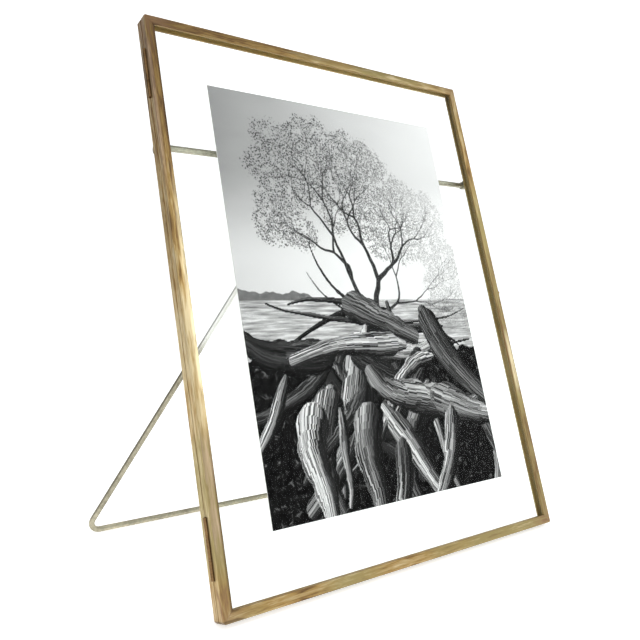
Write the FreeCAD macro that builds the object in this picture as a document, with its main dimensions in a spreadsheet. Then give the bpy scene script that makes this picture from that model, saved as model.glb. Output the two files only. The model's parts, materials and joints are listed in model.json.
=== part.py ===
"""Floating picture frame on a wire easel.

Two brass leaves, each with a glass pane, are hinged along the left side and hold a print between
them.  A wire easel turns in two eyelets on the back of the rear leaf.

Everything is modelled upright first: X to the viewer's right, Y from the front face to the back,
Z up from the bottom edge.  One shared placement then leans the frame back on its easel, with the
origin on the surface it stands on, in the middle of the assembly's footprint.
"""

import FreeCAD, Part
import math
import os
import re
import Sketcher

DIMENSIONS = {
    "frame_width": 177.8,
    "frame_height": 228.6,
    "lean_angle": 16.0,
    # folded brass rails
    "front_lip": 4.0,  # the rail's face over the glass
    "back_lip": 3.6,
    "strip": 0.65,  # thickness of the brass
    "front_depth": 3.1,
    "back_depth": 3.5,
    "seam_gap": 0.3,  # between the closed leaves
    "arris_round": 0.5,  # bend radius between face and side
    "seam_bevel": 0.3,
    "corner_cut": 0.9,  # flat filed across each outer corner
    "mitre_setback": 0.12,  # half the solder gap, measured along a rail
    "solder_recess": 0.05,
    # glass and print
    "glass_thickness": 2.5,
    "glass_room": 0.8,  # from the rail's wall to the edge of the glass
    "glass_bevel": 0.25,
    "print_width": 127.0,
    "print_height": 177.8,
    "print_thickness": 0.4,
    # hinges
    "hinge_length": 21.0,
    "hinge_inset": 14.0,  # from the frame's end to the hinge's end
    "hinge_plate": 0.5,
    "plate_inset": 0.1,
    "knuckle_radius": 0.85,
    "knuckle_room": 0.15,
    "pin_radius": 0.45,
    "running_clearance": 0.05,
    # easel
    "wire_radius": 1.3,
    "crossbar_height": 174.7,
    "crossbar_length": 174.6,
    "leg_length": 178.2,  # from the crossbar's axis to the foot bar's axis
    "foot_width": 186.0,  # between the points where legs and foot bar would meet
    "leg_spacing": 24.4,  # at the crossbar
    "foot_bend": 4.5,
    "bead_radius": 2.1,
    "bead_drop": 1.1,
    "stand_fold": 37.0,
    "eyelet_radius": 1.9,
    "eyelet_length": 2.0,
    "eyelet_foot": 0.8,
    "eyelet_foot_width": 3.8,
    "peg_radius": 0.4,
    "peg_reach": 2.3,  # from the crossbar's axis to the peg's tip
    "notch_depth": 1.0,
    "notch_margin": 18.5,  # degrees past the peg's axis at each end of its travel
    # clasp on the right side
    "clasp_height": 114.3,
    "clasp_reach": 3.6,  # from the rivet to the stud
    "clasp_half_width": 1.35,
    "clasp_thickness": 0.7,
    "clasp_gap": 0.1,
    "slot_inner": 0.88,  # slot's reach from the stud's axis towards the rivet
    "slot_outer": 0.6,
    "rivet_depth": 5.2,  # behind the front face
    "rivet_radius": 0.6,
    "rivet_head_radius": 1.15,
    "rivet_foot_radius": 0.9,
    "rivet_head": 0.45,
    "rivet_tail": 0.35,
    "stud_radius": 0.5,
    "stud_head_radius": 0.75,
    # how far a cutting shape reaches past the surface it starts or ends beyond
    "overshoot": 1.0,
}

SAME_PLACE = 1e-6

X_AXIS = FreeCAD.Vector(1, 0, 0)
Y_AXIS = FreeCAD.Vector(0, 1, 0)
Z_AXIS = FreeCAD.Vector(0, 0, 1)

doc = FreeCAD.newDocument("floating_frame")
sheet = doc.addObject("Spreadsheet::Sheet", "Size")
for row, (alias, value) in enumerate(DIMENSIONS.items(), start=1):
    sheet.set(f"A{row}", alias)
    sheet.set(f"B{row}", str(value))
    sheet.setAlias(f"B{row}", alias)
doc.recompute()
parts = {}


# ------------------------------------------------------------------------------ small helpers
def bound(expression):
    """An expression over plain aliases, as other objects of the document read it."""
    return re.sub(r"[a-z_]+", lambda m: "Size." * (m[0] in DIMENSIONS) + m[0], expression)


def number(expression):
    """The present value of an expression over plain aliases."""
    return float(sheet.evalExpression(bound(expression)))


def place(x=0.0, y=0.0, z=0.0, axis=Z_AXIS, angle=0.0):
    return FreeCAD.Placement(FreeCAD.Vector(x, y, z), FreeCAD.Rotation(axis, angle))


def primitive(kind, name, placement, **sizes):
    item = doc.addObject(kind, name)
    for size, expression in sizes.items():
        item.setExpression(size, bound(expression))
    item.Placement = placement
    return item


def box(name, placement, length, width, height):
    return primitive("Part::Box", name, placement, Length=length, Width=width, Height=height)


def cylinder(name, placement, radius, height):
    return primitive("Part::Cylinder", name, placement, Radius=radius, Height=height)


def fuse(name, shapes):
    joined = doc.addObject("Part::MultiFuse", name)
    joined.Shapes = shapes
    joined.Refine = True
    return joined


def cut(name, base, tools):
    result = doc.addObject("Part::Cut", name)
    result.Base = base
    result.Tool = tools[0] if len(tools) == 1 else fuse(name + "_tools", tools)
    return result


def finish(item, label, placement):
    """Make an object a sub-part: its label names its file, and it takes its final place."""
    item.Label = label
    item.Placement = placement
    parts[label] = item


def plane_sketch(body, role, name):
    """A sketch on one of the body's own origin planes."""
    sketch = body.newObject("Sketcher::SketchObject", name)
    plane = next(item for item in body.Origin.OriginFeatures if item.Role == role)
    sketch.AttachmentSupport = [(plane, "")]
    sketch.MapMode = "FlatFace"
    return sketch


def dimension(sketch, kind, where, expression):
    """A dimensional constraint bound to an expression."""
    constraint = Sketcher.Constraint(kind, *where, number(expression))
    index = sketch.addConstraint(constraint)
    sketch.setExpression(f"Constraints[{index}]", bound(expression))


def outline(sketch, corners):
    """A closed polygon, each corner a pair of expressions."""
    points = [FreeCAD.Vector(number(x), number(y), 0) for x, y in corners]
    count = len(points)
    for side in range(count):
        sketch.addGeometry(Part.LineSegment(points[side], points[(side + 1) % count]), False)
    for side, (x, y) in enumerate(corners):
        sketch.addConstraint(Sketcher.Constraint("Coincident", side, 2, (side + 1) % count, 1))
        dimension(sketch, "DistanceX", (side, 1), x)
        dimension(sketch, "DistanceY", (side, 1), y)


def pad(body, sketch, length):
    """Pad a sketch of the XZ plane towards +Y."""
    feature = body.newObject("PartDesign::Pad", sketch.Name + "_pad")
    feature.Profile = sketch
    feature.Reversed = True
    feature.setExpression("Length", bound(length))
    return feature


def dress(body, kind, name, size, expression, wanted):
    """Fillet or chamfer the edges of the body's tip that pass a test on their end points."""
    doc.recompute()
    base = body.Tip
    names = []
    for index, edge in enumerate(base.Shape.Edges, start=1):
        if all(wanted(vertex.Point) for vertex in edge.Vertexes):
            names.append(f"Edge{index}")
    feature = body.newObject(kind, name)
    feature.Base = (base, names)
    feature.setExpression(size, bound(expression))


# ------------------------------------------------------------------- place of the leaning frame
FRAME_DEPTH = "(front_depth + seam_gap + back_depth)"
CROSSBAR_DEPTH = f"({FRAME_DEPTH} + eyelet_radius)"
HINGE_DEPTH = "(front_depth + seam_gap / 2)"

width = number("frame_width")
height = number("frame_height")
depth = number(FRAME_DEPTH)
crossbar_depth = number(CROSSBAR_DEPTH)
crossbar_height = number("crossbar_height")
wire_radius = number("wire_radius")
leg_length = number("leg_length")
strip = number("strip")
overshoot = number("overshoot")

# The rounded bottom edge of the back leaf and the foot bar both touch the surface.
lean = math.radians(number("lean_angle"))
arris = number("arris_round")
edge_height = (depth - arris) * math.sin(lean) + arris * (1 - math.cos(lean))
crossbar_z = crossbar_height * math.cos(lean) - crossbar_depth * math.sin(lean) + edge_height
crossbar_y = crossbar_height * math.sin(lean) + crossbar_depth * math.cos(lean)
leg_slope = math.acos((crossbar_z - wire_radius) / leg_length)
stand_angle = math.degrees(leg_slope + lean)
back_end = crossbar_y + leg_length * math.sin(leg_slope) + wire_radius
front_end = arris * (math.cos(lean) + math.sin(lean) - 1)
middle = (front_end + back_end) / 2
LEAN = place(y=-middle, z=edge_height, axis=X_AXIS, angle=-number("lean_angle"))


# ------------------------------------------------------------------------------------ the rails
def mitred_plan(length, strip_width):
    """A rail seen from the front: mitred ends, with the outer corners filed flat."""
    half = f"{length} / 2"
    tip = f"({half} - (corner_cut + mitre_setback) / 2)"
    tip_height = "(corner_cut - mitre_setback) / 2"
    inner = f"({half} - {strip_width} - mitre_setback)"
    return [
        (f"corner_cut - {half}", "0"),
        (f"{half} - corner_cut", "0"),
        (tip, tip_height),
        (inner, strip_width),
        (f"-{inner}", strip_width),
        (f"-{tip}", tip_height),
    ]


def rail(name, length, rail_depth, lip_width):
    """An L-section rail: its lip lies in the XZ plane, its wall stands towards +Y."""
    body = doc.addObject("PartDesign::Body", name)
    lip = plane_sketch(body, "XZ_Plane", name + "_lip")
    outline(lip, mitred_plan(length, lip_width))
    pad(body, lip, "strip")
    wall = plane_sketch(body, "XZ_Plane", name + "_wall")
    outline(wall, mitred_plan(length, "strip"))
    pad(body, wall, rail_depth)
    dress(body, "PartDesign::Fillet", name + "_arris", "Radius", "arris_round",
          lambda p: abs(p.y) < SAME_PLACE and abs(p.z) < SAME_PLACE)
    wall_depth = number(rail_depth)
    dress(body, "PartDesign::Chamfer", name + "_bevel", "Size", "seam_bevel",
          lambda p: abs(p.y - wall_depth) < SAME_PLACE and abs(p.z) < SAME_PLACE)
    return body


def rail_places(turn, y):
    """Where the four rails of a leaf go, each turned from the bottom rail's place."""
    return {
        "bottom_rail": place(0, y, 0, Y_AXIS, 0).multiply(turn),
        "top_rail": place(0, y, height, Y_AXIS, 180).multiply(turn),
        "left_stile": place(-width / 2, y, height / 2, Y_AXIS, 90).multiply(turn),
        "right_stile": place(width / 2, y, height / 2, Y_AXIS, -90).multiply(turn),
    }


HINGE_STARTS = {
    "lower": number("hinge_inset"),
    "upper": height - number("hinge_inset + hinge_length"),
}


def hinge_notches(leaf):
    """Blocks that clear both hinge barrels out of a left stile's wall."""
    room = number("knuckle_radius + knuckle_room")
    margin = number("knuckle_room")
    notches = []
    for end, start in HINGE_STARTS.items():
        corner = place(-width / 2 - overshoot, number(HINGE_DEPTH) - room, start - margin)
        notches.append(box(f"{leaf}_{end}_notch", corner, "strip + overshoot",
                           "2 * (knuckle_radius + knuckle_room)",
                           "hinge_length + 2 * knuckle_room"))
    return notches


def side_hole(name, hole_depth, radius):
    """A hole through a right stile's wall for the clasp."""
    start_x = width / 2 - strip - overshoot
    start = place(start_x, number(hole_depth), number("clasp_height"), Y_AXIS, 90)
    return cylinder(name, start, radius, "strip + 2 * overshoot")


def leaf_rails(leaf, rail_depth, turn, y, clasp_hole):
    for name, spot in rail_places(turn, y).items():
        label = f"{leaf}_{name}"
        length = "frame_width" if name.endswith("rail") else "frame_height"
        body = rail(label + "_strip", length, rail_depth, f"{leaf}_lip")
        if name == "left_stile":
            body.Placement = spot
            finish(cut(label, body, hinge_notches(leaf)), label, LEAN)
        elif name == "right_stile":
            body.Placement = spot
            finish(cut(label, body, [clasp_hole]), label, LEAN)
        else:
            finish(body, label, LEAN.multiply(spot))


STUD_DEPTH = "(rivet_depth - clasp_reach)"
leaf_rails("front", "front_depth", place(), 0, side_hole("stud_hole", STUD_DEPTH, "stud_radius"))
leaf_rails("back", "back_depth", place(angle=180), depth,
           side_hole("rivet_hole", "rivet_depth", "rivet_radius"))


# ----------------------------------------------------------------------------- soldered mitres
CORNER_TURNS = {(-1, 0): -45, (1, 0): -135, (-1, 1): 45, (1, 1): 135}
diagonal = math.sqrt(2)


def corner_solder(leaf, lip_start, wall_start, leaf_depth):
    """Thin L-shaped fillings between the mitred rail ends of one leaf."""
    fillings = []
    start = number("corner_cut") / diagonal + number("solder_recess")
    half_gap = number("mitre_setback") / diagonal
    for (side, top), turn in CORNER_TURNS.items():
        corner = place(side * width / 2, 0, top * height, Y_AXIS, turn)
        name = f"{leaf}_solder_{side + 1}{top}"
        face = box(name + "_face", corner.multiply(place(start, lip_start, -half_gap)),
                   f"({leaf}_lip - corner_cut / 2 - mitre_setback) * sqrt(2) - 2 * solder_recess",
                   "strip - solder_recess", "mitre_setback * sqrt(2)")
        edge = box(name + "_edge", corner.multiply(place(start, wall_start, -half_gap)),
                   "(strip - corner_cut / 2) * sqrt(2) - solder_recess",
                   f"{leaf_depth} - 2 * solder_recess", "mitre_setback * sqrt(2)")
        fillings.append(fuse(name, [face, edge]))
    group = doc.addObject("Part::Compound", leaf + "_solder")
    group.Links = fillings
    finish(group, leaf + "_corner_solder", LEAN)


recess = number("solder_recess")
corner_solder("front", recess, recess, "front_depth")
corner_solder("back", depth - strip, depth - number("back_depth") + recess, "back_depth")


# ------------------------------------------------------------------------------ glass and print
def pane(label, y):
    body = doc.addObject("PartDesign::Body", label + "_body")
    plan = plane_sketch(body, "XZ_Plane", label + "_plan")
    half = "(frame_width / 2 - strip - glass_room)"
    low, high = "strip + glass_room", "frame_height - strip - glass_room"
    outline(plan, [(f"-{half}", low), (half, low), (half, high), (f"-{half}", high)])
    pad(body, plan, "glass_thickness")
    dress(body, "PartDesign::Chamfer", label + "_bevel", "Size", "glass_bevel", lambda p: True)
    finish(body, label, LEAN.multiply(place(y=y)))


back_pane_y = depth - number("strip + glass_thickness")
front_pane_back = number("strip + glass_thickness")
pane("front_glass", strip)
pane("back_glass", back_pane_y)

print_y = (front_pane_back + back_pane_y - number("print_thickness")) / 2
print_x = -number("print_width") / 2
print_z = (height - number("print_height")) / 2
photo = box("photo", place(), "print_width", "print_thickness", "print_height")
finish(photo, "photo_print", LEAN.multiply(place(print_x, print_y, print_z)))


# ---------------------------------------------------------------------------------- the hinges
def hinge_half(label, spot, side, own, others, bore):
    """One half of a hinge: its barrel stands on the Z axis, its plate lies towards side * Y."""
    leaf_depth = "front_depth" if side < 0 else "back_depth"
    plate_width = f"{leaf_depth} + seam_gap / 2 - strip - plate_inset"
    plate_y = min(0, side * number(plate_width))
    plate = box(label + "_plate", place(strip, plate_y), "hinge_plate", plate_width, "hinge_length")
    third = number("hinge_length") / 3
    gap = number("knuckle_room") / 2
    clearances = []
    for index in others:
        start = place(z=index * third - gap)
        clearances.append(cylinder(f"{label}_room_{index}", start, "knuckle_radius + knuckle_room",
                                   "hinge_length / 3 + knuckle_room"))
    solids = [cut(label + "_trimmed", plate, clearances)]
    for index in own:
        start = place(z=index * third + gap)
        solids.append(cylinder(f"{label}_knuckle_{index}", start, "knuckle_radius",
                               "hinge_length / 3 - knuckle_room"))
    hole = cylinder(label + "_bore", place(z=-overshoot), bore, "hinge_length + 2 * overshoot")
    finish(cut(label, fuse(label + "_solid", solids), [hole]), label, spot)


for end, start in HINGE_STARTS.items():
    spot = LEAN.multiply(place(-width / 2, number(HINGE_DEPTH), start))
    hinge_half(f"{end}_hinge_front", spot, -1, (1,), (0, 2), "pin_radius + running_clearance")
    hinge_half(f"{end}_hinge_back", spot, 1, (0, 2), (1,), "pin_radius")
    pin = cylinder(f"{end}_pin", place(), "pin_radius", "hinge_length")
    finish(pin, f"{end}_hinge_pin", spot)


# ----------------------------------------------------------------------------------- the easel
def eyelet(label, side):
    """A small tube on a foot; its inner end is notched for the crossbar's stop peg."""
    outer_end = side * number("crossbar_length") / 2
    tube_length = number("eyelet_length")
    inner_end = outer_end - side * tube_length
    left = min(outer_end, inner_end)
    notch_left = min(inner_end, inner_end + side * number("notch_depth"))
    tube = cylinder(label + "_tube", place(left, crossbar_depth, 0, Y_AXIS, 90),
                    "eyelet_radius", "eyelet_length")
    foot_corner = place(left, depth, -number("eyelet_foot_width") / 2)
    foot = box(label + "_foot", foot_corner, "eyelet_length", "eyelet_foot", "eyelet_foot_width")
    bore = cylinder(label + "_bore", place(left - overshoot, crossbar_depth, 0, Y_AXIS, 90),
                    "wire_radius + running_clearance", "eyelet_length + 2 * overshoot")
    sweep = number("stand_fold + 2 * notch_margin")
    notch_spot = place(notch_left, crossbar_depth, 0, X_AXIS, 90 - sweep / 2)
    notch = cylinder(label + "_notch", notch_spot.multiply(place(axis=Y_AXIS, angle=90)),
                     "peg_reach + overshoot", "notch_depth")
    notch.setExpression("Angle", bound("stand_fold + 2 * notch_margin"))
    ring = cut(label, fuse(label + "_solid", [tube, foot]), [bore, notch])
    finish(ring, label, LEAN.multiply(place(z=crossbar_height)))


eyelet("left_eyelet", -1)
eyelet("right_eyelet", 1)

# The easel's own pieces have the crossbar's axis as X and the legs towards -Z.
STAND = LEAN.multiply(place(0, crossbar_depth, crossbar_height, X_AXIS, stand_angle))

bar_half = number("crossbar_length") / 2
bar = cylinder("bar", place(-bar_half, 0, 0, Y_AXIS, 90), "wire_radius", "crossbar_length")
peg_x = bar_half - number("eyelet_length - notch_depth / 2")
peg_turn = number("stand_fold") / 2 - stand_angle - 90
pegs = []
for name, x in (("left_peg", -peg_x), ("right_peg", peg_x)):
    pegs.append(cylinder(name, place(x, 0, 0, X_AXIS, peg_turn), "peg_radius", "peg_reach"))
finish(fuse("bar_with_pegs", [bar] + pegs), "crossbar", STAND)


def easel_wire():
    """One wire: half the foot bar and a leg, mirrored, with saddle ends under the crossbar."""
    body = doc.addObject("PartDesign::Body", "wire_body")
    path = plane_sketch(body, "XZ_Plane", "wire_path")
    foot_x = number("foot_width") / 2
    top_x = number("leg_spacing") / 2
    bend = number("foot_bend")
    corner = FreeCAD.Vector(foot_x, -leg_length, 0)
    leg_way = FreeCAD.Vector(top_x - foot_x, leg_length, 0).normalize()
    between = math.pi - math.acos(leg_way.x)
    tangent = bend / math.tan(between / 2)
    bend_start = corner - FreeCAD.Vector(tangent, 0, 0)
    bend_end = corner + leg_way * tangent
    centre = bend_start + FreeCAD.Vector(0, bend, 0)
    circle = Part.Circle(centre, FreeCAD.Vector(0, 0, 1), bend)
    turn_end = math.atan2(bend_end.y - centre.y, bend_end.x - centre.x)
    middle_point = FreeCAD.Vector(0, -leg_length, 0)
    top = FreeCAD.Vector(top_x, 0, 0)
    path.addGeometry(Part.LineSegment(middle_point, bend_start), False)
    path.addGeometry(Part.ArcOfCircle(circle, -math.pi / 2, turn_end), False)
    path.addGeometry(Part.LineSegment(bend_end, top), False)
    path.addGeometry(Part.Point(corner), True)
    path.addConstraint(Sketcher.Constraint("Horizontal", 0))
    path.addConstraint(Sketcher.Constraint("Tangent", 0, 2, 1, 1))
    path.addConstraint(Sketcher.Constraint("Tangent", 1, 2, 2, 1))
    path.addConstraint(Sketcher.Constraint("PointOnObject", 3, 1, 2))
    dimension(path, "DistanceX", (0, 1), "0")
    dimension(path, "DistanceY", (0, 1), "-leg_length")
    dimension(path, "Radius", (1,), "foot_bend")
    dimension(path, "DistanceX", (2, 2), "leg_spacing / 2")
    dimension(path, "DistanceY", (2, 2), "0")
    dimension(path, "DistanceX", (3, 1), "foot_width / 2")
    dimension(path, "DistanceY", (3, 1), "-leg_length")

    section = plane_sketch(body, "YZ_Plane", "wire_section")
    section.addGeometry(Part.Circle(middle_point, FreeCAD.Vector(0, 0, 1), wire_radius), False)
    dimension(section, "Radius", (0,), "wire_radius")
    dimension(section, "DistanceX", (0, 3), "0")
    dimension(section, "DistanceY", (0, 3), "-leg_length")
    doc.recompute()
    half = body.newObject("PartDesign::AdditivePipe", "wire_half")
    half.Profile = section
    half.Spine = path
    doc.recompute()
    mirrored = body.newObject("PartDesign::Mirrored", "wire_whole")
    mirrored.Originals = [half]
    plane = next(item for item in body.Origin.OriginFeatures if item.Role == "YZ_Plane")
    mirrored.MirrorPlane = (plane, [""])
    body.Tip = mirrored
    doc.recompute()

    saddle = plane_sketch(body, "YZ_Plane", "saddle_section")
    saddle.addGeometry(Part.Circle(FreeCAD.Vector(), FreeCAD.Vector(0, 0, 1), wire_radius), False)
    dimension(saddle, "Radius", (0,), "wire_radius")
    saddle.addConstraint(Sketcher.Constraint("Coincident", 0, 3, -1, 1))
    saddles = body.newObject("PartDesign::Pocket", "saddles")
    saddles.Profile = saddle
    saddles.Midplane = True
    saddles.setExpression("Length", bound("leg_spacing + 4 * wire_radius"))
    finish(body, "easel_wire", STAND)
    return leg_way


leg_way = easel_wire()


def braze_beads():
    """A bead of braze round the top of each leg, under the crossbar."""
    beads = []
    lean_out = math.degrees(math.asin(-leg_way.x))
    drop = number("bead_drop")
    bar_start = number("bead_radius + overshoot")
    for side, name in ((-1, "left"), (1, "right")):
        x = side * number("leg_spacing") / 2
        centre = place(x + side * drop * math.tan(math.radians(lean_out)), 0, -drop)
        ball = primitive("Part::Sphere", name + "_ball", centre, Radius="bead_radius")
        leg_spot = place(x, 0, 0, Y_AXIS, 180 - side * lean_out)
        leg_room = cylinder(name + "_leg_room", leg_spot, "wire_radius",
                            "bead_drop + bead_radius + overshoot")
        bar_room = cylinder(name + "_bar_room", place(x - bar_start, 0, 0, Y_AXIS, 90),
                            "wire_radius", "2 * (bead_radius + overshoot)")
        beads.append(cut(name + "_bead", ball, [leg_room, bar_room]))
    group = doc.addObject("Part::Compound", "beads")
    group.Links = beads
    finish(group, "braze_beads", STAND)


braze_beads()


# ----------------------------------------------------------------------------------- the clasp
# The clasp's pieces have the right side's surface as their YZ plane and the rivet on the X axis.
CLASP = LEAN.multiply(place(width / 2, number("rivet_depth"), number("clasp_height")))


def disc(name, x, z, radius, thickness):
    """A round piece whose axis is X."""
    return cylinder(name, place(x, 0, z, Y_AXIS, 90), radius, thickness)


gap = number("clasp_gap")
reach = number("clasp_reach")
half_width = number("clasp_half_width")
arm = box("clasp_arm", place(gap, -half_width, 0), "clasp_thickness", "2 * clasp_half_width",
          "clasp_reach")
eye = disc("clasp_eye", gap, 0, "clasp_half_width", "clasp_thickness")
nose = disc("clasp_nose", gap, reach, "clasp_half_width", "clasp_thickness")
THROUGH_HOOK = "clasp_thickness + 2 * overshoot"
cut_start = gap - overshoot
eye_bore = disc("clasp_bore", cut_start, 0, "rivet_radius + running_clearance", THROUGH_HOOK)
seat = disc("clasp_seat", cut_start, reach, "slot_outer", THROUGH_HOOK)
mouth_corner = place(cut_start, -half_width - overshoot, reach - number("slot_inner"))
mouth = box("clasp_mouth", mouth_corner, THROUGH_HOOK, "clasp_half_width + overshoot",
            "slot_inner + slot_outer")
hook = cut("hook", fuse("hook_blank", [arm, eye, nose]), [eye_bore, seat, mouth])
# At rest the hook hangs plumb. To latch, it swings up behind and drops over the stud.
hanging = number("lean_angle") - 180
finish(hook, "clasp_hook", CLASP.multiply(place(axis=X_AXIS, angle=hanging)))

tail = number("rivet_tail")
head_x = 2 * gap + number("clasp_thickness")
rivet = fuse("rivet", [
    disc("rivet_shank", -strip - tail, 0, "rivet_radius",
         "strip + rivet_tail + 2 * clasp_gap + clasp_thickness + rivet_head"),
    disc("rivet_head", head_x, 0, "rivet_head_radius", "rivet_head"),
    disc("rivet_foot", -strip - tail, 0, "rivet_foot_radius", "rivet_tail"),
])
finish(rivet, "clasp_rivet", CLASP)

stud = fuse("stud", [
    disc("stud_shank", -strip - tail, 0, "stud_radius",
         "strip + rivet_tail + 2 * clasp_gap + clasp_thickness + rivet_head"),
    disc("stud_head", head_x, 0, "stud_head_radius", "rivet_head"),
    disc("stud_foot", -strip - tail, 0, "stud_head_radius", "rivet_tail"),
])
finish(stud, "catch_stud", CLASP.multiply(place(y=-reach)))


# --------------------------------------------------------------------------- check and write out
doc.recompute()
for item in doc.Objects:
    if "Invalid" in item.State or "Error" in item.State:
        raise RuntimeError(f"{item.Label} failed to recompute: {item.State}")
for label, item in parts.items():
    shape = item.Shape
    if shape.isNull() or not shape.isValid() or not shape.Solids:
        raise RuntimeError(f"{label} has no valid solid")

os.makedirs("parts", exist_ok=True)
for label, item in parts.items():
    item.Shape.exportStep(f"parts/{label}.step")
    solids = len(item.Shape.Solids)
    print(f"{label:22s} {solids} solid(s)  {item.Shape.Volume:10.2f} mm3")
print(f"stand angle {stand_angle:.3f}, hook latches at {90 - hanging:.1f} degrees")
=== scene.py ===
"""Looks of a floating brass picture frame that leans on a wire easel.

The brass parts and the panes are the CAD nodes with new materials.  The print is built here: it
shows an invented black and white landscape, grown from seeded random branches and roots.
"""

import json
import math
import random

import bpy
import numpy as np
from mathutils import Euler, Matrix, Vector


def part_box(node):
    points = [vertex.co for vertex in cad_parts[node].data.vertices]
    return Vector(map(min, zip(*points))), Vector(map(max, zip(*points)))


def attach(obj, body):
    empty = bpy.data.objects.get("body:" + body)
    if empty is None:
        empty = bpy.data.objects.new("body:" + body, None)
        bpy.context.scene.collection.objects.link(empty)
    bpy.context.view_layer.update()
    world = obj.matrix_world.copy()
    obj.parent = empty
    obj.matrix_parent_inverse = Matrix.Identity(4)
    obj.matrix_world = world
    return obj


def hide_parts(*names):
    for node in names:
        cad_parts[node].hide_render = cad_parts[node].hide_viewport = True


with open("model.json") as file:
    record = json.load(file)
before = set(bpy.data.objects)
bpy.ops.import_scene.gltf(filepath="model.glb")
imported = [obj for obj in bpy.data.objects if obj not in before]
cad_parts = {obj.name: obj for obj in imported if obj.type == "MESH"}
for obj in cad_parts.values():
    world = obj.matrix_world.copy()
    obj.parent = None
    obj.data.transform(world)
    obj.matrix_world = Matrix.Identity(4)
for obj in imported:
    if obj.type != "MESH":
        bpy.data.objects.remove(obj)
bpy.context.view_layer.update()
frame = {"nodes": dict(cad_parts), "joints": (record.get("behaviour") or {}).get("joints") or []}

MM = 0.001

# ------------------------------------------------------------------------ the leaning frame
# Upright coordinates: X to the viewer's right, Y to the back, Z up the frame, origin in the
# middle of the print.
hinge = next(joint for joint in frame["joints"] if joint["name"] == "leaf_hinge")
frame_up = -Vector(hinge["axis"])
LEAN = math.atan2(frame_up.y, frame_up.z)
TO_WORLD = Euler((-LEAN, 0, 0)).to_matrix()
TO_UPRIGHT = TO_WORLD.transposed()


def box_middle(node):
    low, high = (Vector(corner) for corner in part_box(node))
    return (low + high) / 2


CENTRE = box_middle("photo_print")


def to_world(point):
    return CENTRE + TO_WORLD @ Vector(point)


def node_extent(node):
    """A node's lowest and highest corners in upright coordinates."""
    points = [TO_UPRIGHT @ (v.co - CENTRE) for v in frame["nodes"][node].data.vertices]
    low = Vector(map(min, *points))
    high = Vector(map(max, *points))
    return low, high


stile_low, stile_high = node_extent("front_left_stile")
HALF_WIDTH = -stile_low.x
HALF_HEIGHT = node_extent("front_top_rail")[1].z
LIP_MIDDLE = (stile_high.x - stile_low.x) / 2
FRONT_FACE = stile_low.y
BACK_FACE = node_extent("back_left_stile")[1].y
SEAM = (stile_high.y + node_extent("back_left_stile")[0].y) / 2
HINGE_HEIGHT = sum(corner.z for corner in node_extent("upper_hinge_pin")) / 2


# ------------------------------------------------------------------------- material building
class Nodes:
    """A new material's node tree, with short calls for the nodes used here."""

    def __init__(self, name):
        self.material = bpy.data.materials.new(name)
        self.material.use_nodes = True
        self.tree = self.material.node_tree
        self.shader = self.tree.nodes["Principled BSDF"]
        self.output = self.tree.nodes["Material Output"]

    def add(self, kind, inputs=(), **settings):
        node = self.tree.nodes.new(kind)
        for key, value in settings.items():
            setattr(node, key, value)
        for key, value in dict(inputs).items():
            self.feed(node.inputs[key], value)
        return node

    def feed(self, socket, value):
        if isinstance(value, bpy.types.NodeSocket):
            self.tree.links.new(value, socket)
        elif socket.type == "RGBA":
            socket.default_value = (*value, 1.0)
        else:
            socket.default_value = value

    def set(self, **values):
        """Values or links of the main shader; an underscore stands for a space."""
        for key, value in values.items():
            self.feed(self.shader.inputs[key.replace("_", " ")], value)

    def math(self, operation, first, second=0.0, third=0.0, clamp=False):
        node = self.add("ShaderNodeMath", {0: first, 1: second, 2: third},
                        operation=operation, use_clamp=clamp)
        return node.outputs[0]

    def times(self, first, second):
        return self.math("MULTIPLY", first, second)

    def plus(self, first, second):
        return self.math("ADD", first, second)

    def minus(self, first, second):
        return self.math("SUBTRACT", first, second)

    def far(self, value, centre=0.0):
        """How far a value is from a centre, either way."""
        return self.math("ABSOLUTE", self.minus(value, centre) if centre else value)

    def length(self, first, second):
        """The length of a line from its two components."""
        return self.math("SQRT", self.plus(self.math("POWER", first, 2.0),
                                           self.math("POWER", second, 2.0)))

    def smooth(self, value, start, end, low=0.0, high=1.0):
        """Goes smoothly from low to high as the value goes from start to end."""
        node = self.add("ShaderNodeMapRange",
                        {"Value": value, "From Min": start, "From Max": end,
                         "To Min": low, "To Max": high},
                        interpolation_type="SMOOTHSTEP")
        return node.outputs["Result"]

    def mix(self, factor, first, second):
        node = self.add("ShaderNodeMix", data_type="RGBA")
        for index, value in ((0, factor), (6, first), (7, second)):
            self.feed(node.inputs[index], value)
        return node.outputs[2]

    def ramp(self, value, stops):
        """A colour ramp from (place, colour) pairs."""
        node = self.add("ShaderNodeValToRGB", {"Fac": value})
        elements = node.color_ramp.elements
        while len(elements) < len(stops):
            elements.new(1.0)
        for element, (place, colour) in zip(elements, stops):
            element.position = place
            element.color = (*colour, 1.0)
        return node.outputs["Color"]

    def noise(self, vector, scale, detail=3.0, roughness=0.55, distortion=0.0):
        node = self.add("ShaderNodeTexNoise",
                        {"Vector": vector, "Scale": scale, "Detail": detail,
                         "Roughness": roughness, "Distortion": distortion})
        return node.outputs["Fac"]

    def stretched(self, vector, factors):
        node = self.add("ShaderNodeVectorMath", {0: vector, 1: factors}, operation="MULTIPLY")
        return node.outputs[0]

    def split(self, vector):
        return self.add("ShaderNodeSeparateXYZ", {0: vector}).outputs

    def upright(self):
        """The surface's place in the frame's upright coordinates."""
        place = self.add("ShaderNodeTexCoord").outputs["Object"]
        mapping = self.add("ShaderNodeMapping",
                           {"Vector": place, "Rotation": (LEAN, 0, 0),
                            "Location": -(TO_UPRIGHT @ CENTRE)}, vector_type="POINT")
        return mapping.outputs[0]

    def bump(self, height, strength, distance):
        inputs = {"Height": height, "Strength": strength, "Distance": distance}
        return self.add("ShaderNodeBump", inputs).outputs[0]


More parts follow.
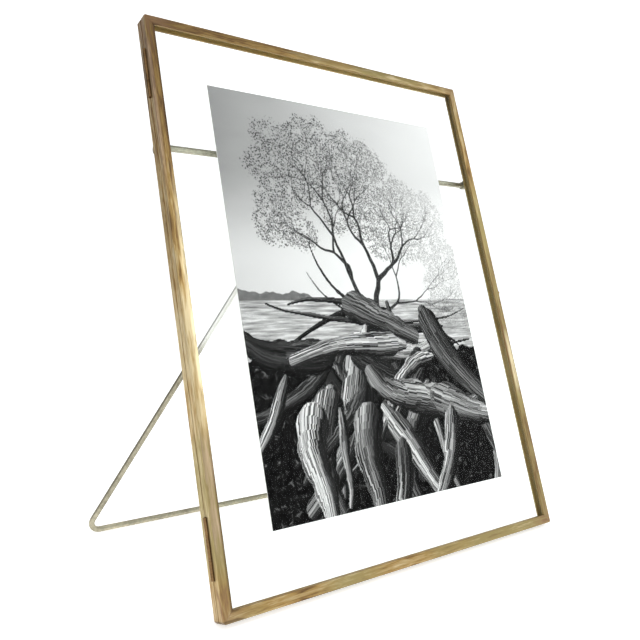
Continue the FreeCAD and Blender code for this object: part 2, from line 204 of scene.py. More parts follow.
def dress(material, *nodes):
    """Gives CAD nodes a material in place of the one they came with."""
    for node in nodes:
        for slot in frame["nodes"][node].material_slots:
            slot.material = material


# ------------------------------------------------------------------------------ aged brass
BROWN = (0.085, 0.045, 0.020)
UMBER = (0.22, 0.130, 0.052)
GOLD = (0.44, 0.290, 0.105)
OLIVE = (0.38, 0.305, 0.130)
PALE = (0.66, 0.55, 0.33)
PINK = (0.58, 0.43, 0.31)
ROSE = (0.36, 0.220, 0.120)
HIGHLIGHT_BRASS = (0.86, 0.75, 0.48)
INSIDE = (0.42, 0.300, 0.110)
SKIN_AND_SHADE = (0.10, 0.080, 0.050)
RUBBED_WIRE = (0.88, 0.87, 0.82)
POLISHED_WIRE = (0.97, 0.97, 0.94)
FINE = 3.0  # scale of the stains on the small fittings

ALONG_X = (1.0, 11.0, 11.0)
ALONG_Z = (11.0, 11.0, 1.0)

STILE_STARTS = 80 * MM  # across from the middle: nothing but stile lies past STILE_SURE
STILE_SURE = 84 * MM
HALF_HINGE = 10.5 * MM


def strip_tone(n, x, z, streaks, patches):
    """How light the brass is, with its painted shade and light, before the tints, marks and painted
    highlights laid over it.
    """
    # The upper left corner is painted darker than the rest: mostly painted shade, partly browning.
    from_upper_left = n.length(n.plus(x, HALF_WIDTH), n.times(n.minus(HALF_HEIGHT, z), 0.8))
    shade_and_browning = n.smooth(n.math("MULTIPLY_ADD", patches, 0.03, from_upper_left),
                        110 * MM, 20 * MM, 0.0, 0.16)

    # Painted light makes the top rail lighter past its darker end, and a painted highlight
    # lightens the left stile a little below its middle.  The right stile is darker, most of all
    # in its lower half.
    top = n.times(n.smooth(z, 104 * MM, 110 * MM), n.smooth(x, -50 * MM, 10 * MM, 0.0, 0.06))
    right = n.times(n.smooth(z, 60 * MM, 15 * MM, 0.040, 0.175),
                    n.smooth(x, STILE_STARTS, STILE_SURE))
    left_stile_highlight = n.times(n.smooth(n.far(z, -18 * MM), 22 * MM, 8 * MM, 0.0, 0.18),
                   n.smooth(x, -STILE_STARTS, -STILE_SURE))
    darker = n.minus(n.plus(shade_and_browning, right), left_stile_highlight)
    tone = n.math("MULTIPLY_ADD", streaks, 0.80, n.math("MULTIPLY_ADD", patches, 0.30, 0.02))
    return n.minus(n.plus(tone, top), darker)


def stile_marks(n, colour, x, y, z, inward, streaks):
    """Marks on the left stile, wear along the strip's edges, and painted highlight and shade."""
    on_left = n.smooth(x, -STILE_STARTS, -STILE_SURE)

    # A pinkish patch is left low on the left stile.
    blush = n.times(n.smooth(n.far(z, -71 * MM), 26 * MM, 12 * MM, 0.0, 0.55), on_left)
    blush = n.times(blush, n.smooth(inward, 0.0, 0.3 * LIP_MIDDLE))
    colour = n.mix(n.times(blush, n.smooth(streaks, 0.36, 0.52)), colour, PINK)

    # Handling has rubbed the outer arris bright.
    rubbed = n.math("MULTIPLY", n.smooth(inward, 0.25 * LIP_MIDDLE, 0.0),
                    n.smooth(streaks, 0.44, 0.60), clamp=True)
    colour = n.mix(n.times(rubbed, 0.4), colour, PALE)
    # Higher up the left stile a pinkish painted highlight lies more widely along the outer arris.
    from_arris = n.math("MAXIMUM", inward, n.minus(y, FRONT_FACE))
    edge = n.times(n.smooth(from_arris, 0.75 * LIP_MIDDLE, 0.30 * LIP_MIDDLE),
                   n.smooth(z, 30 * MM, 60 * MM))
    edge = n.times(n.times(edge, n.smooth(z, 106 * MM, 96 * MM)), on_left)
    edge = n.times(edge, n.smooth(streaks, 0.36, 0.54, 0.5, 1.0))
    colour = n.mix(n.times(edge, 0.60), colour, PINK)

    # The lip's inner edge is darker; at the ends of the left stile painted shade widens it into a
    # broader band.
    inner_edge = n.smooth(inward, 1.90 * LIP_MIDDLE, 1.97 * LIP_MIDDLE, 0.0, 0.75)
    colour = n.mix(inner_edge, colour, UMBER)
    at_ends = n.times(n.smooth(n.far(z), 45 * MM, 70 * MM, 0.0, 0.65), on_left)
    shaded = n.smooth(n.math("MULTIPLY_ADD", streaks, 0.4 * LIP_MIDDLE, inward),
                      1.65 * LIP_MIDDLE, 2.0 * LIP_MIDDLE)
    return n.mix(n.times(at_ends, shaded), colour, BROWN)


def painted_highlights(n, colour, x, z, inward, off_middle, streaks):
    """Painted highlights on the stiles: on the left one along its inner
    half, on the right one in a short stretch of its middle."""
    # Painted highlight on the left stile's inner half and on the middle of the right stile.
    left_highlight = n.times(n.smooth(n.far(z, -2 * MM), 58 * MM, 20 * MM), n.smooth(x, MM, -MM))
    left_highlight = n.times(left_highlight, n.smooth(inward, 0.9 * LIP_MIDDLE, 1.7 * LIP_MIDDLE))
    right_highlight = n.times(n.smooth(n.far(z, -36 * MM), 20 * MM, 6 * MM), n.smooth(x, -MM, MM))
    right_highlight = n.times(right_highlight, n.smooth(n.far(off_middle), 0.9 * LIP_MIDDLE, 0.4 * LIP_MIDDLE))
    highlight = n.times(n.math("MAXIMUM", left_highlight, right_highlight), n.smooth(streaks, 0.30, 0.50, 0.45, 1.0))
    return n.mix(n.times(highlight, 0.85), colour, HIGHLIGHT_BRASS)


def strip_dirt(n, colour, x, y, z, inward, from_end, streaks):
    """Dark skin and dirt that were never polished off, and painted shade by the hinges and the
    lower left corner.
    """
    # The top and bottom faces have kept their dark skin.  Near the lower left corner painted shade
    # carries the dark colour round onto the front, along the bottom edge.
    from_lower_left = n.length(n.plus(x, HALF_WIDTH), n.plus(z, HALF_HEIGHT))
    bottom_edge_shade = n.smooth(from_lower_left, 10 * MM, 5 * MM, 0.0, 0.9 * MM)
    skin_and_shade = n.minus(n.math("MULTIPLY_ADD", streaks, 0.30 * MM, from_end), bottom_edge_shade)
    skin_and_shade = n.smooth(skin_and_shade, 0.50 * MM, 0.20 * MM)
    colour = n.mix(n.times(skin_and_shade, 0.60), colour, SKIN_AND_SHADE)

    # Dirt has settled along the seam between the leaves.
    from_seam = n.math("MULTIPLY_ADD", streaks, 0.35 * MM, n.far(y, SEAM))
    dirt = n.times(n.smooth(from_seam, 0.85 * MM, 0.35 * MM),
                   n.smooth(inward, 0.30 * MM, 0.10 * MM, 0.0, 0.80))
    colour = n.mix(dirt, colour, BROWN)

    # Painted shade darkens the front leaf's side along the hinges.
    beside_hinge = n.far(n.far(z), HINGE_HEIGHT)
    hinge_shade = n.smooth(beside_hinge, HALF_HINGE + MM, HALF_HINGE - MM, 0.0, 0.75)
    hinge_shade = n.times(hinge_shade, n.smooth(y, SEAM - 1.7 * MM, SEAM - 1.2 * MM))
    hinge_shade = n.times(hinge_shade, n.smooth(y, SEAM + 0.5 * MM, SEAM + 0.2 * MM))
    hinge_shade = n.times(hinge_shade, n.smooth(inward, 0.30 * MM, 0.10 * MM))
    return n.mix(n.times(hinge_shade, n.smooth(x, -STILE_STARTS, -STILE_SURE)), colour, BROWN)


def aged_brass(name, stretch):
    """Brass strip drawn lengthwise, browned and rubbed, with heat tints near the solder,
    and with painted shade and highlights.
    """
    n = Nodes(name)
    place = n.upright()
    x, y, z = n.split(place)
    streaks = n.noise(n.stretched(place, stretch), 95.0, 4.0, 0.62, 0.35)
    patches = n.noise(n.stretched(place, [s ** 0.35 for s in stretch]), 42.0, 2.0, 0.5)
    from_side = n.minus(HALF_WIDTH, n.far(x))
    from_end = n.minus(HALF_HEIGHT, n.far(z))
    inward = n.math("MINIMUM", from_side, from_end)
    off_middle = n.minus(inward, LIP_MIDDLE)

    # The left side is warmer, the right side and the bottom more olive.
    tone = strip_tone(n, x, z, streaks, patches)
    warm = n.ramp(tone, [(0.30, BROWN), (0.43, UMBER), (0.55, GOLD), (0.76, PALE)])
    cool = n.ramp(tone, [(0.30, UMBER), (0.46, OLIVE), (0.60, OLIVE), (0.78, PALE)])
    hue = n.math("MULTIPLY_ADD", x, 1.1, n.math("MULTIPLY_ADD", z, -0.9, n.noise(place, 21.0, 1.0)))
    colour = n.mix(n.smooth(hue, 0.42, 0.60), warm, cool)

    # Soldering has tinted the corners.
    ragged = n.math("MULTIPLY_ADD", n.minus(streaks, 0.5), 45 * MM, n.length(from_side, from_end))
    colour = n.mix(n.smooth(ragged, 16 * MM, 2 * MM, 0.0, 0.52), colour, ROSE)
    colour = stile_marks(n, colour, x, y, z, inward, streaks)
    colour = painted_highlights(n, colour, x, z, inward, off_middle, streaks)
    colour = strip_dirt(n, colour, x, y, z, inward, from_end, streaks)

    # Inside the channel the brass is unpolished and dull.
    from_face = n.math("MINIMUM", n.minus(y, FRONT_FACE), n.minus(BACK_FACE, y))
    inside = n.smooth(n.math("MINIMUM", inward, from_face), 0.25 * MM, 0.50 * MM)
    colour = n.mix(n.times(inside, 0.7), colour, INSIDE)

    # The strip is slightly crowned, a little dented, and brushed lengthwise.
    crown = n.times(n.math("POWER", off_middle, 2.0), -18.0)
    dents = n.noise(n.stretched(place, [s ** 0.5 for s in stretch]), 110.0, 1.0)
    brushed = n.noise(n.stretched(place, [s ** 1.6 for s in stretch]), 130.0, 2.0, 0.6)
    height = n.math("MULTIPLY_ADD", dents, 0.10 * MM, crown)
    height = n.math("MULTIPLY_ADD", brushed, 0.015 * MM, height)
    metallic = n.times(n.smooth(tone, 0.35, 0.60, 0.70, 1.0),
                       n.math("MULTIPLY_ADD", inside, -0.6, 1.0))
    n.set(Base_Color=colour, Metallic=metallic,
          Roughness=n.smooth(streaks, 0.30, 0.70, 0.52, 0.32), Normal=n.bump(height, 1.0, 1.0))
    return n.material


def wire_brass(name, light, dark, scale=1.0, bright_from=None):
    """Drawn wire or small brass fittings, with a few stained lengths.  It may be rubbed bright
    from a height on."""
    n = Nodes(name)
    place = n.add("ShaderNodeTexCoord").outputs["Object"]
    stains = n.noise(place, 55.0 * scale, 3.0, 0.6)
    specks = n.noise(place, 700.0 * scale, 2.0, 0.6)
    tone = n.math("MULTIPLY_ADD", specks, 0.35, n.times(stains, 0.65))
    rubbed = tuple(1.5 * channel for channel in light)
    colour = n.ramp(tone, [(0.32, dark), (0.50, light), (0.72, rubbed)])
    if bright_from is not None:
        height = n.split(place)[2]
        bright = n.ramp(tone, [(0.32, RUBBED_WIRE), (0.60, POLISHED_WIRE)])
        colour = n.mix(n.smooth(height, bright_from, bright_from + 12 * MM), colour, bright)
    normal = n.bump(specks, 0.25, 0.06 * MM)
    roughness = n.smooth(specks, 0.3, 0.7, 0.46, 0.30)
    n.set(Base_Color=colour, Metallic=1.0, Roughness=roughness, Normal=normal)
    return n.material


strip_across = aged_brass("brass_rail", ALONG_X)
strip_upright = aged_brass("brass_stile", ALONG_Z)
for leaf in ("front", "back"):
    dress(strip_across, f"{leaf}_top_rail", f"{leaf}_bottom_rail")
    dress(strip_upright, f"{leaf}_left_stile", f"{leaf}_right_stile")

dark_brass = wire_brass("brass_hinge", (0.24, 0.145, 0.065), (0.09, 0.052, 0.022), FINE)
for end in ("upper", "lower"):
    dress(dark_brass, f"{end}_hinge_front", f"{end}_hinge_back", f"{end}_hinge_pin")

pale_wire = wire_brass("brass_wire", (0.40, 0.38, 0.30), (0.22, 0.21, 0.17))
dress(pale_wire, "crossbar", "left_eyelet", "right_eyelet")
leg_wire = wire_brass("brass_legs", (0.42, 0.39, 0.29), (0.24, 0.22, 0.16), bright_from=80 * MM)
dress(leg_wire, "easel_wire")
clasp_brass = wire_brass("brass_clasp", (0.34, 0.24, 0.10), (0.14, 0.09, 0.04), FINE)
dress(clasp_brass, "clasp_hook", "clasp_rivet", "catch_stud")


def solder_metal():
    """Silver solder with a copper-pink flush."""
    n = Nodes("solder")
    place = n.add("ShaderNodeTexCoord").outputs["Object"]
    cloud = n.noise(place, 320.0, 3.0, 0.6)
    pits = n.noise(place, 1500.0, 2.0, 0.6)
    colour = n.ramp(cloud, [(0.30, (0.22, 0.12, 0.075)), (0.52, ROSE), (0.70, (0.60, 0.44, 0.32))])
    normal = n.bump(pits, 0.4, 0.08 * MM)
    n.set(Base_Color=colour, Metallic=1.0, Roughness=n.smooth(pits, 0.3, 0.7, 0.5, 0.32),
          Normal=normal)
    return n.material


solder = solder_metal()
dress(solder, "front_corner_solder", "back_corner_solder", "braze_beads")


# ------------------------------------------------------------------------------------ glass
def coated_glass():
    """Clear glass with a low-reflection coating and a few smudges.  Its ground edges are sealed
    to the brass, so they show the channel behind.  Light reaches everything straight through."""
    n = Nodes("clear_glass")
    x, _, z = n.split(n.upright())
    pane = node_extent("front_glass")[1]
    inset = n.math("MINIMUM", n.minus(pane.x, n.far(x)), n.minus(pane.z, n.far(z)))
    place = n.add("ShaderNodeTexCoord").outputs["Object"]
    smudges = n.noise(place, 30.0, 3.0, 0.6)
    bending = n.add("ShaderNodeBsdfRefraction",
                    {"Color": (0.990, 0.996, 0.993), "Roughness": 0.0, "IOR": 1.5})
    smeared = n.smooth(smudges, 0.5, 0.8, 0.0, 0.08)
    mirror = n.add("ShaderNodeBsdfAnisotropic",
                   {"Color": (0.95, 0.97, 1.0), "Roughness": smeared})
    slant = n.add("ShaderNodeLayerWeight", {"Blend": 0.5}).outputs["Facing"]
    mirrored = n.math("MULTIPLY_ADD", n.math("POWER", slant, 5.0), 0.5, 0.001)
    face = n.add("ShaderNodeMixShader",
                 {0: mirrored, 1: bending.outputs[0], 2: mirror.outputs[0]})
    straight = n.add("ShaderNodeBsdfTransparent", {"Color": (0.985, 0.993, 0.990)})
    ground = n.noise(place, 900.0, 2.0)
    n.set(Base_Color=n.mix(ground, (0.42, 0.50, 0.44), (0.58, 0.66, 0.60)), Roughness=0.4,
          Normal=n.bump(ground, 0.3, 0.05 * MM))
    edge = n.add("ShaderNodeMixShader",
                 {0: 0.10, 1: straight.outputs[0], 2: n.shader.outputs[0]})
    whole = n.add("ShaderNodeMixShader", {0: n.smooth(inset, 0.45 * MM, 0.30 * MM),
                                          1: face.outputs[0], 2: edge.outputs[0]})
    path = n.add("ShaderNodeLightPath").outputs
    reflected = n.math("SUBTRACT", path["Is Glossy Ray"], path["Is Transmission Ray"], clamp=True)
    passing = n.math("MAXIMUM", path["Is Shadow Ray"],
                     n.math("MAXIMUM", path["Is Diffuse Ray"], reflected))
    lit = n.add("ShaderNodeMixShader", {0: passing, 1: whole.outputs[0], 2: straight.outputs[0]})
    n.feed(n.output.inputs["Surface"], lit.outputs[0])
    return n.material


dress(coated_glass(), "front_glass", "back_glass")


# ------------------------------------------------------------------------- the landscape
PRINT_LOW, PRINT_HIGH = node_extent("photo_print")
PRINT_WIDTH = (PRINT_HIGH.x - PRINT_LOW.x) / MM
PRINT_HEIGHT = (PRINT_HIGH.z - PRINT_LOW.z) / MM
CELL = 0.42  # spacing of the picture's points, in millimetres
HORIZON = 86.0  # everything in the picture is in millimetres from its lower left corner
SHORE = 62.0
STUMP = (70.0, 76.0)
CLEAR_OF_LIMBS = 1.5
THINNEST = 0.13
TREE_SEED, WOOD_SEED = 41, 7
MAIN_LIMBS = (  # heading, length, radius, how often it forks
    (0.02, 20, 1.9, 7), (0.70, 15, 1.0, 6), (-0.95, 23, 1.5, 6))
WOOD_LAMP = (-0.62, 0.50, 0.60)  # where the driftwood's light comes from
WOOD_PIECES = 60
WOOD_STEPS = 15
ROOT_SHARE = 0.45  # the rearmost pieces are roots, the nearer ones driftwood


def near_line(across, up, start, end, reach):
    """For the picture's points near a line: their window, share along it, offset, distance."""
    (x0, y0), (x1, y1) = start, end
    columns = slice(*np.searchsorted(across, (min(x0, x1) - reach, max(x0, x1) + reach)))
    rows = slice(*np.searchsorted(up, (min(y0, y1) - reach, max(y0, y1) + reach)))
    px, py = np.meshgrid(across[columns], up[rows])
    dx, dy = x1 - x0, y1 - y0
    length = math.hypot(dx, dy)
    share = np.clip(((px - x0) * dx + (py - y0) * dy) / length ** 2, 0, 1)
    offset = ((px - x0) * dy - (py - y0) * dx) / length
    away = np.hypot(px - x0 - share * dx, py - y0 - share * dy)
    return (rows, columns), share, offset, away


def grow_branch(chance, limbs, tips, start, heading, length, radius, level):
    """Adds one crooked branch, and from its end the smaller ones that it forks into."""
    pieces = 5
    point = start
    for piece in range(pieces):
        heading += chance.gauss(0, 0.17) - heading * 0.05
        step = length / pieces
        onward = (point[0] + math.sin(heading) * step, point[1] + math.cos(heading) * step)
        thick, thin = (max(THINNEST, radius * (1 - 0.35 * passed / pieces))
                       for passed in (piece, piece + 1))
        limbs.append((point, onward, thick, thin))
        point = onward
        if level < 4 and chance.random() < 0.7:
            tips.append((*point, chance.uniform(1.8, 4.4)))
        if level in (2, 3) and chance.random() < 0.4:
            grow_branch(chance, limbs, tips, point, heading + chance.choice((-1, 1)) * 0.8,
                        length * 0.5, THINNEST, 0)
    if level == 0:
        tips.append((*point, chance.uniform(2.2, 5.2)))
        return
    spread = chance.uniform(0.25, 0.55)
    for side in (-1, 1):
        turn = heading + side * spread * chance.uniform(0.6, 1.4)
        grow_branch(chance, limbs, tips, point, turn, length * chance.uniform(0.66, 0.90),
                    radius * chance.uniform(0.58, 0.72), level - 1)


def tree_fields(across, up, chance):
    """Signed distance to the tree's limbs, negative inside them, and how dense its leaves are."""
    limbs, tips = [], []
    for heading, length, radius, level in MAIN_LIMBS:
        grow_branch(chance, limbs, tips, STUMP, heading, length, radius, level)
    limb = np.full((len(up), len(across)), CLEAR_OF_LIMBS)
    for start, end, thick, thin in limbs:
        window, share, _, away = near_line(across, up, start, end, thick + CLEAR_OF_LIMBS)
        limb[window] = np.minimum(limb[window], away - thick - (thin - thick) * share)
    leaf = np.zeros(limb.shape)
    for x, y, reach in tips:
        columns = slice(*np.searchsorted(across, (x - 3 * reach, x + 3 * reach)))
        rows = slice(*np.searchsorted(up, (y - 3 * reach, y + 3 * reach)))
        px, py = np.meshgrid(across[columns], up[rows])
        leaf[rows, columns] += np.exp(-((px - x) ** 2 + (py - y) ** 2) / reach ** 2)
    return limb, np.minimum(leaf, 1.5)


def driftwood_fields(across, up, chance):
    """Roots and driftwood from back to front: how light each point is, cover and grain."""
    light = np.zeros((len(up), len(across)))
    cover = np.zeros(light.shape)
    grain = np.zeros((*light.shape, 3))
    lamp_x, lamp_y, lamp_out = WOOD_LAMP
    for order in range(WOOD_PIECES):
        nearness = order / (WOOD_PIECES - 1)
        if nearness < ROOT_SHARE:
            angle = chance.uniform(-2.1, 2.1)
            point = (STUMP[0] + chance.gauss(0, 5), STUMP[1] - 2 + chance.gauss(0, 4))
            radius, taper = chance.uniform(0.8, 2.5), 0.85
            albedo = chance.uniform(0.10, 0.42)
            step = chance.uniform(2.6, 4.6)
        else:
            angle = chance.gauss(-0.10, 0.85)
            point = (66 + chance.gauss(0, 30),
                     74 - 78 * (nearness - ROOT_SHARE) + chance.gauss(0, 7))
            radius, taper = chance.uniform(2.2, 9.0), 0.62
            albedo = chance.choice((0.30, 0.60, 0.95, 1.05))
            albedo *= 1.25 - 0.60 * point[0] / PRINT_WIDTH
            step = chance.uniform(2.4, 4.8)
        bend = travelled = 0.0
        thick_end = radius * 0.4
        for index in range(WOOD_STEPS):
            onward = (point[0] + math.sin(angle) * step, point[1] - math.cos(angle) * step)
            thick_start = thick_end
            thick_end = (radius * min(1.0, 0.7 + 0.2 * index) * (1 - taper * index / WOOD_STEPS)
                         * chance.uniform(0.84, 1.16))
            window, share, offset, away = near_line(across, up, point, onward,
                                                    max(thick_start, thick_end))
            thick = thick_start + (thick_end - thick_start) * share
            side = np.clip(offset / thick, -1, 1)
            lamp_side = (lamp_x * (onward[1] - point[1]) - lamp_y * (onward[0] - point[0])) / step
            facing = np.clip(side * lamp_side + np.sqrt(1 - side ** 2) * lamp_out, 0, 1)
            inside = away < thick
            light[window][inside] = (albedo * (0.10 + 0.95 * facing))[inside]
            cover[window][inside] = 1.0
            strand = [travelled + share * step, offset * radius / thick,
                      np.full(share.shape, 9.0 * order)]
            grain[window][inside] = np.stack(strand, -1)[inside]
            travelled += step
            point = onward
            bend = 0.8 * bend + chance.gauss(0, 0.045)
            angle += bend
    return light, cover, grain


def print_sheet():
    """The print: a thin sheet whose face carries the picture's fields at closely set points."""
    columns = round(PRINT_WIDTH / CELL)
    rows = round(PRINT_HEIGHT / CELL)
    across = np.linspace(0, PRINT_WIDTH, columns + 1)
    up = np.linspace(0, PRINT_HEIGHT, rows + 1)
    limb, leaf = tree_fields(across, up, random.Random(TREE_SEED))
    light, cover, grain = driftwood_fields(across, up, random.Random(WOOD_SEED))
    fields = {"limb": limb, "leaf": leaf, "wood_light": light, "wood": cover}

    face = [to_world((PRINT_LOW.x + x * MM, PRINT_LOW.y, PRINT_LOW.z + y * MM))
            for y in up for x in across]
    back = [to_world((x, PRINT_HIGH.y, z)) for z in (PRINT_LOW.z, PRINT_HIGH.z)
            for x in (PRINT_LOW.x, PRINT_HIGH.x)]
    line = columns + 1
    quads = [(row * line + col, row * line + col + 1, (row + 1) * line + col + 1,
              (row + 1) * line + col) for row in range(rows) for col in range(columns)]
    first = len(face)
    low_left, low_right, high_left, high_right = range(first, first + 4)
    bottom = list(range(0, line))
    top = [rows * line + col for col in range(line)]
    left = [row * line for row in range(rows + 1)]
    right = [row * line + columns for row in range(rows + 1)]
    edges = [[low_left, low_right] + bottom[::-1], [high_right, high_left] + top,
             [high_left, low_left] + left, [low_right, high_right] + right[::-1]]
    back_face = [(low_right, low_left, high_left, high_right)]

    mesh = bpy.data.meshes.new("print_sheet")
    mesh.from_pydata(face + back, [], quads + edges + back_face)
    mesh.update()
    for name, values in fields.items():
        data = np.append(values.ravel(), np.zeros(4)).astype(np.float32)
        mesh.attributes.new(name, "FLOAT", "POINT").data.foreach_set("value", data)
    vectors = np.append(grain.reshape(-1, 3), np.zeros((4, 3)), axis=0).astype(np.float32)
    strands = mesh.attributes.new("grain", "FLOAT_VECTOR", "POINT")
    strands.data.foreach_set("vector", vectors.ravel())
    mesh.materials.append(landscape())
    mesh.materials.append(paper())
    for polygon in mesh.polygons[len(quads):]:
        polygon.material_index = 1
    sheet = bpy.data.objects.new("print_sheet", mesh)
    bpy.context.scene.collection.objects.link(sheet)
    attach(sheet, "back_leaf")
    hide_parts("photo_print")


def landscape():
    """A black and white picture of a tree above a shore full of driftwood, on satin paper."""
    n = Nodes("landscape_print")
    place = n.stretched(n.upright(), (1 / MM,) * 3)
    corner = (-PRINT_LOW.x / MM, 0, -PRINT_LOW.z / MM)
    place = n.add("ShaderNodeVectorMath", {0: place, 1: corner}, operation="ADD").outputs[0]
    place = n.stretched(place, (1, 0, 1))
    x, _, z = n.split(place)

    def field(name, output="Fac"):
        return n.add("ShaderNodeAttribute", attribute_name=name).outputs[output]

    def grey(level):
        return (level, level, level)

    # sky: thin cloud, darker to the top left
    cloud = n.noise(n.stretched(place, (0.6, 1, 1.5)), 0.022, 4.0, 0.6)
    height = n.math("DIVIDE", n.minus(z, HORIZON), PRINT_HEIGHT - HORIZON)
    bright = n.smooth(height, 0.66, 0.15, 0.30, 0.72)
    bright = n.math("MULTIPLY_ADD", n.minus(cloud, 0.5), 0.20, bright)
    bright = n.math("MULTIPLY_ADD", x, 0.62 / PRINT_WIDTH, bright, clamp=True)
    picture = n.mix(bright, grey(0.05), grey(0.98))

    # far hills
    ridge = n.noise(n.stretched(place, (1, 0, 0)), 0.055, 3.0, 0.55)
    crest = n.math("MULTIPLY_ADD", ridge, 14.0, n.math("MULTIPLY_ADD", x, -0.11, HORIZON - 2.0))
    hills = n.smooth(n.minus(crest, z), -0.3, 0.3)
    haze = n.ramp(n.noise(place, 0.3, 3.0), [(0.3, grey(0.13)), (0.7, grey(0.24))])
    picture = n.mix(hills, picture, haze)

    # water with light streaks
    ripples = n.noise(n.stretched(place, (0.12, 1, 1.6)), 0.55, 4.0, 0.65)
    water = n.ramp(ripples, [(0.30, grey(0.16)), (0.48, grey(0.50)), (0.64, grey(0.88))])
    picture = n.mix(n.smooth(z, HORIZON + 0.25, HORIZON - 0.25), picture, water)

    # the near shore: dark stones and grass
    shore_line = n.math("MULTIPLY_ADD", n.noise(place, 0.07, 3.0), 16.0, SHORE - 8.0)
    stones = n.noise(place, 0.38, 5.0, 0.68, 0.6)
    ground = n.ramp(stones, [(0.40, grey(0.001)), (0.58, grey(0.01)), (0.74, grey(0.20))])
    picture = n.mix(n.smooth(n.minus(shore_line, z), -0.5, 0.5), picture, ground)

    # the tree: leaves as specks that thin out away from the twigs, then limbs over them
    patchy = n.smooth(n.noise(place, 0.13, 3.0, 0.65), 0.38, 0.58, 0.20, 1.8)
    density = n.times(field("leaf"), patchy)
    cells = n.add("ShaderNodeTexVoronoi", {"Vector": place, "Scale": 1.55})
    pick, leaf_light, _ = n.split(cells.outputs["Color"])
    ragged = n.math("MULTIPLY_ADD", n.noise(place, 3.0, 1.0), 0.5, cells.outputs["Distance"])
    shape = n.smooth(ragged, 0.92, 0.74)
    leaves = n.times(shape, n.smooth(n.minus(density, pick), 0.0, 0.20))
    leaves = n.times(leaves, n.smooth(x, 0.45 * PRINT_WIDTH, PRINT_WIDTH, 0.90, 0.35))
    leaf_tone = n.ramp(leaf_light, [(0.15, grey(0.02)), (0.90, grey(0.38))])
    picture = n.mix(leaves, picture, leaf_tone)
    bark = n.ramp(n.noise(place, 1.1, 3.0), [(0.35, grey(0.006)), (0.70, grey(0.09))])
    edge = n.math("MULTIPLY_ADD", n.minus(n.noise(place, 1.6, 1.0), 0.5), 0.25, field("limb"))
    picture = n.mix(n.smooth(edge, 0.14, -0.24), picture, bark)

    # roots and driftwood, with their grain along them
    strands = n.noise(n.stretched(field("grain", "Vector"), (0.06, 1.5, 1)), 0.75, 4.0, 0.72, 0.6)
    grooves = n.smooth(strands, 0.38, 0.62, 0.18, 1.25)
    wood_light = n.math("MULTIPLY", field("wood_light"), grooves, clamp=True)
    wood = n.ramp(wood_light, [(0.0, grey(0.002)), (0.20, grey(0.04)), (0.48, grey(0.34)),
                               (0.80, grey(0.90))])
    picture = n.mix(n.smooth(field("wood"), 0.45, 0.55), picture, wood)

    film = n.noise(place, 4.5, 2.0, 0.7)
    picture = n.mix(n.smooth(film, 0.3, 0.7, 0.0, 0.02), picture, grey(0.15))
    surface = n.noise(place, 8.0, 2.0)
    n.set(Base_Color=picture, Roughness=0.5, Specular_IOR_Level=0.03,
          Normal=n.bump(surface, 0.08, 0.02 * MM))
    return n.material


def paper():
    """The bare back and edges of the print."""
    n = Nodes("print_back")
    place = n.add("ShaderNodeTexCoord").outputs["Object"]
    fibres = n.noise(n.stretched(place, (1, 1, 2.5)), 900.0, 4.0, 0.7)
    colour = n.ramp(fibres, [(0.3, (0.72, 0.72, 0.70)), (0.7, (0.84, 0.84, 0.82))])
    n.set(Base_Color=colour, Roughness=0.7, Normal=n.bump(fibres, 0.2, 0.05 * MM))
    return n.material


print_sheet()


# ----------------------------------------------------------------------- stage and lighting
VIEW_TURN = math.radians(37.04)  # how far right of straight ahead the camera looks
VIEW_DROP = math.radians(0.93)
WORLD_STRENGTH = 0.22


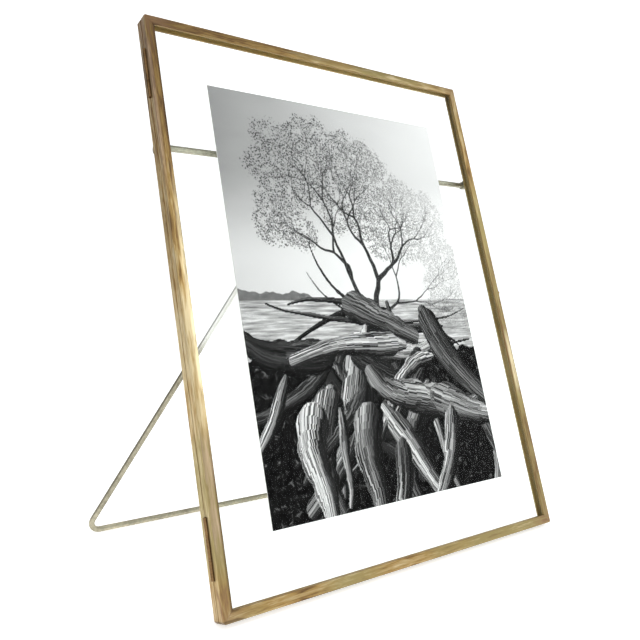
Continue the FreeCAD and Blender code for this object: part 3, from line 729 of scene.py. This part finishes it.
def sweep():
    """A pale floor that curves up into a wall behind, square to the camera's view."""
    n = Nodes("pale_sweep")
    place = n.add("ShaderNodeTexCoord").outputs["Object"]
    soft = n.noise(place, 2.0, 2.0)
    colour = n.ramp(soft, [(0.3, (0.92, 0.92, 0.92)), (0.7, (0.94, 0.94, 0.94))])
    n.set(Base_Color=colour, Roughness=0.9, Emission_Color=(1, 1, 1), Emission_Strength=0.60)
    start, wall, bend, steps, wall_top, half_width = -2.5, 1.2, 0.8, 12, 1.9, 4.0
    profile = [(start, 0.0), (wall, 0.0)]
    for step in range(1, steps + 1):
        turn = step / steps * math.pi / 2
        profile.append((wall + bend * math.sin(turn), bend * (1 - math.cos(turn))))
    profile.append((wall + bend, wall_top))
    points = [(x, y, z) for y, z in profile for x in (-half_width, half_width)]
    faces = [(2 * i, 2 * i + 1, 2 * i + 3, 2 * i + 2) for i in range(len(profile) - 1)]
    mesh = bpy.data.meshes.new("sweep")
    mesh.from_pydata(points, [], faces)
    mesh.shade_smooth()
    mesh.materials.append(n.material)
    floor = bpy.data.objects.new("sweep", mesh)
    floor.rotation_euler = (0, 0, -VIEW_TURN)
    bpy.context.scene.collection.objects.link(floor)


def softbox(name, azimuth, elevation, distance, width, height, radiance):
    """A soft light aimed at the frame; azimuth 0 is straight in front, 90 to the right."""
    lamp = bpy.data.lights.new(name, "AREA")
    lamp.shape = "RECTANGLE"
    lamp.size, lamp.size_y = width, height
    lamp.energy = radiance * math.pi * width * height
    turn, rise = math.radians(azimuth), math.radians(elevation)
    way = Vector((math.sin(turn) * math.cos(rise), -math.cos(turn) * math.cos(rise),
                  math.sin(rise)))
    light = bpy.data.objects.new(name, lamp)
    light.location = CENTRE + way * distance
    light.rotation_euler = way.to_track_quat("Z", "Y").to_euler()
    bpy.context.scene.collection.objects.link(light)


sweep()
softbox("key_light", 33, 27, 1.0, 0.26, 0.30, 2.2)
softbox("front_light", 44, 22, 1.3, 1.3, 0.95, 1.0)
softbox("fill_light", -50, 22, 1.5, 1.3, 1.1, 1.6)
softbox("top_light", 0, 82, 1.7, 1.1, 1.1, 2.4)

world = bpy.data.worlds.new("studio")
world.use_nodes = True
world.node_tree.nodes["Background"].inputs["Color"].default_value = (1, 1, 1, 1)
world.node_tree.nodes["Background"].inputs["Strength"].default_value = WORLD_STRENGTH
bpy.context.scene.world = world
bpy.context.scene.view_settings.view_transform = "Standard"


# ---------------------------------------------------------------------------------- camera
def make_camera():
    """Looks from the front left, at about half the frame's height and nearly level."""
    data = bpy.data.cameras.new("camera")
    data.lens = 40.46
    data.shift_y = -0.0261
    data.clip_start = 0.01
    camera = bpy.data.objects.new("camera", data)
    camera.location = (-0.2051, -0.2679, 0.1118)
    camera.rotation_euler = (math.pi / 2 - VIEW_DROP, 0, -VIEW_TURN)
    bpy.context.scene.collection.objects.link(camera)
    bpy.context.scene.camera = camera


make_camera()
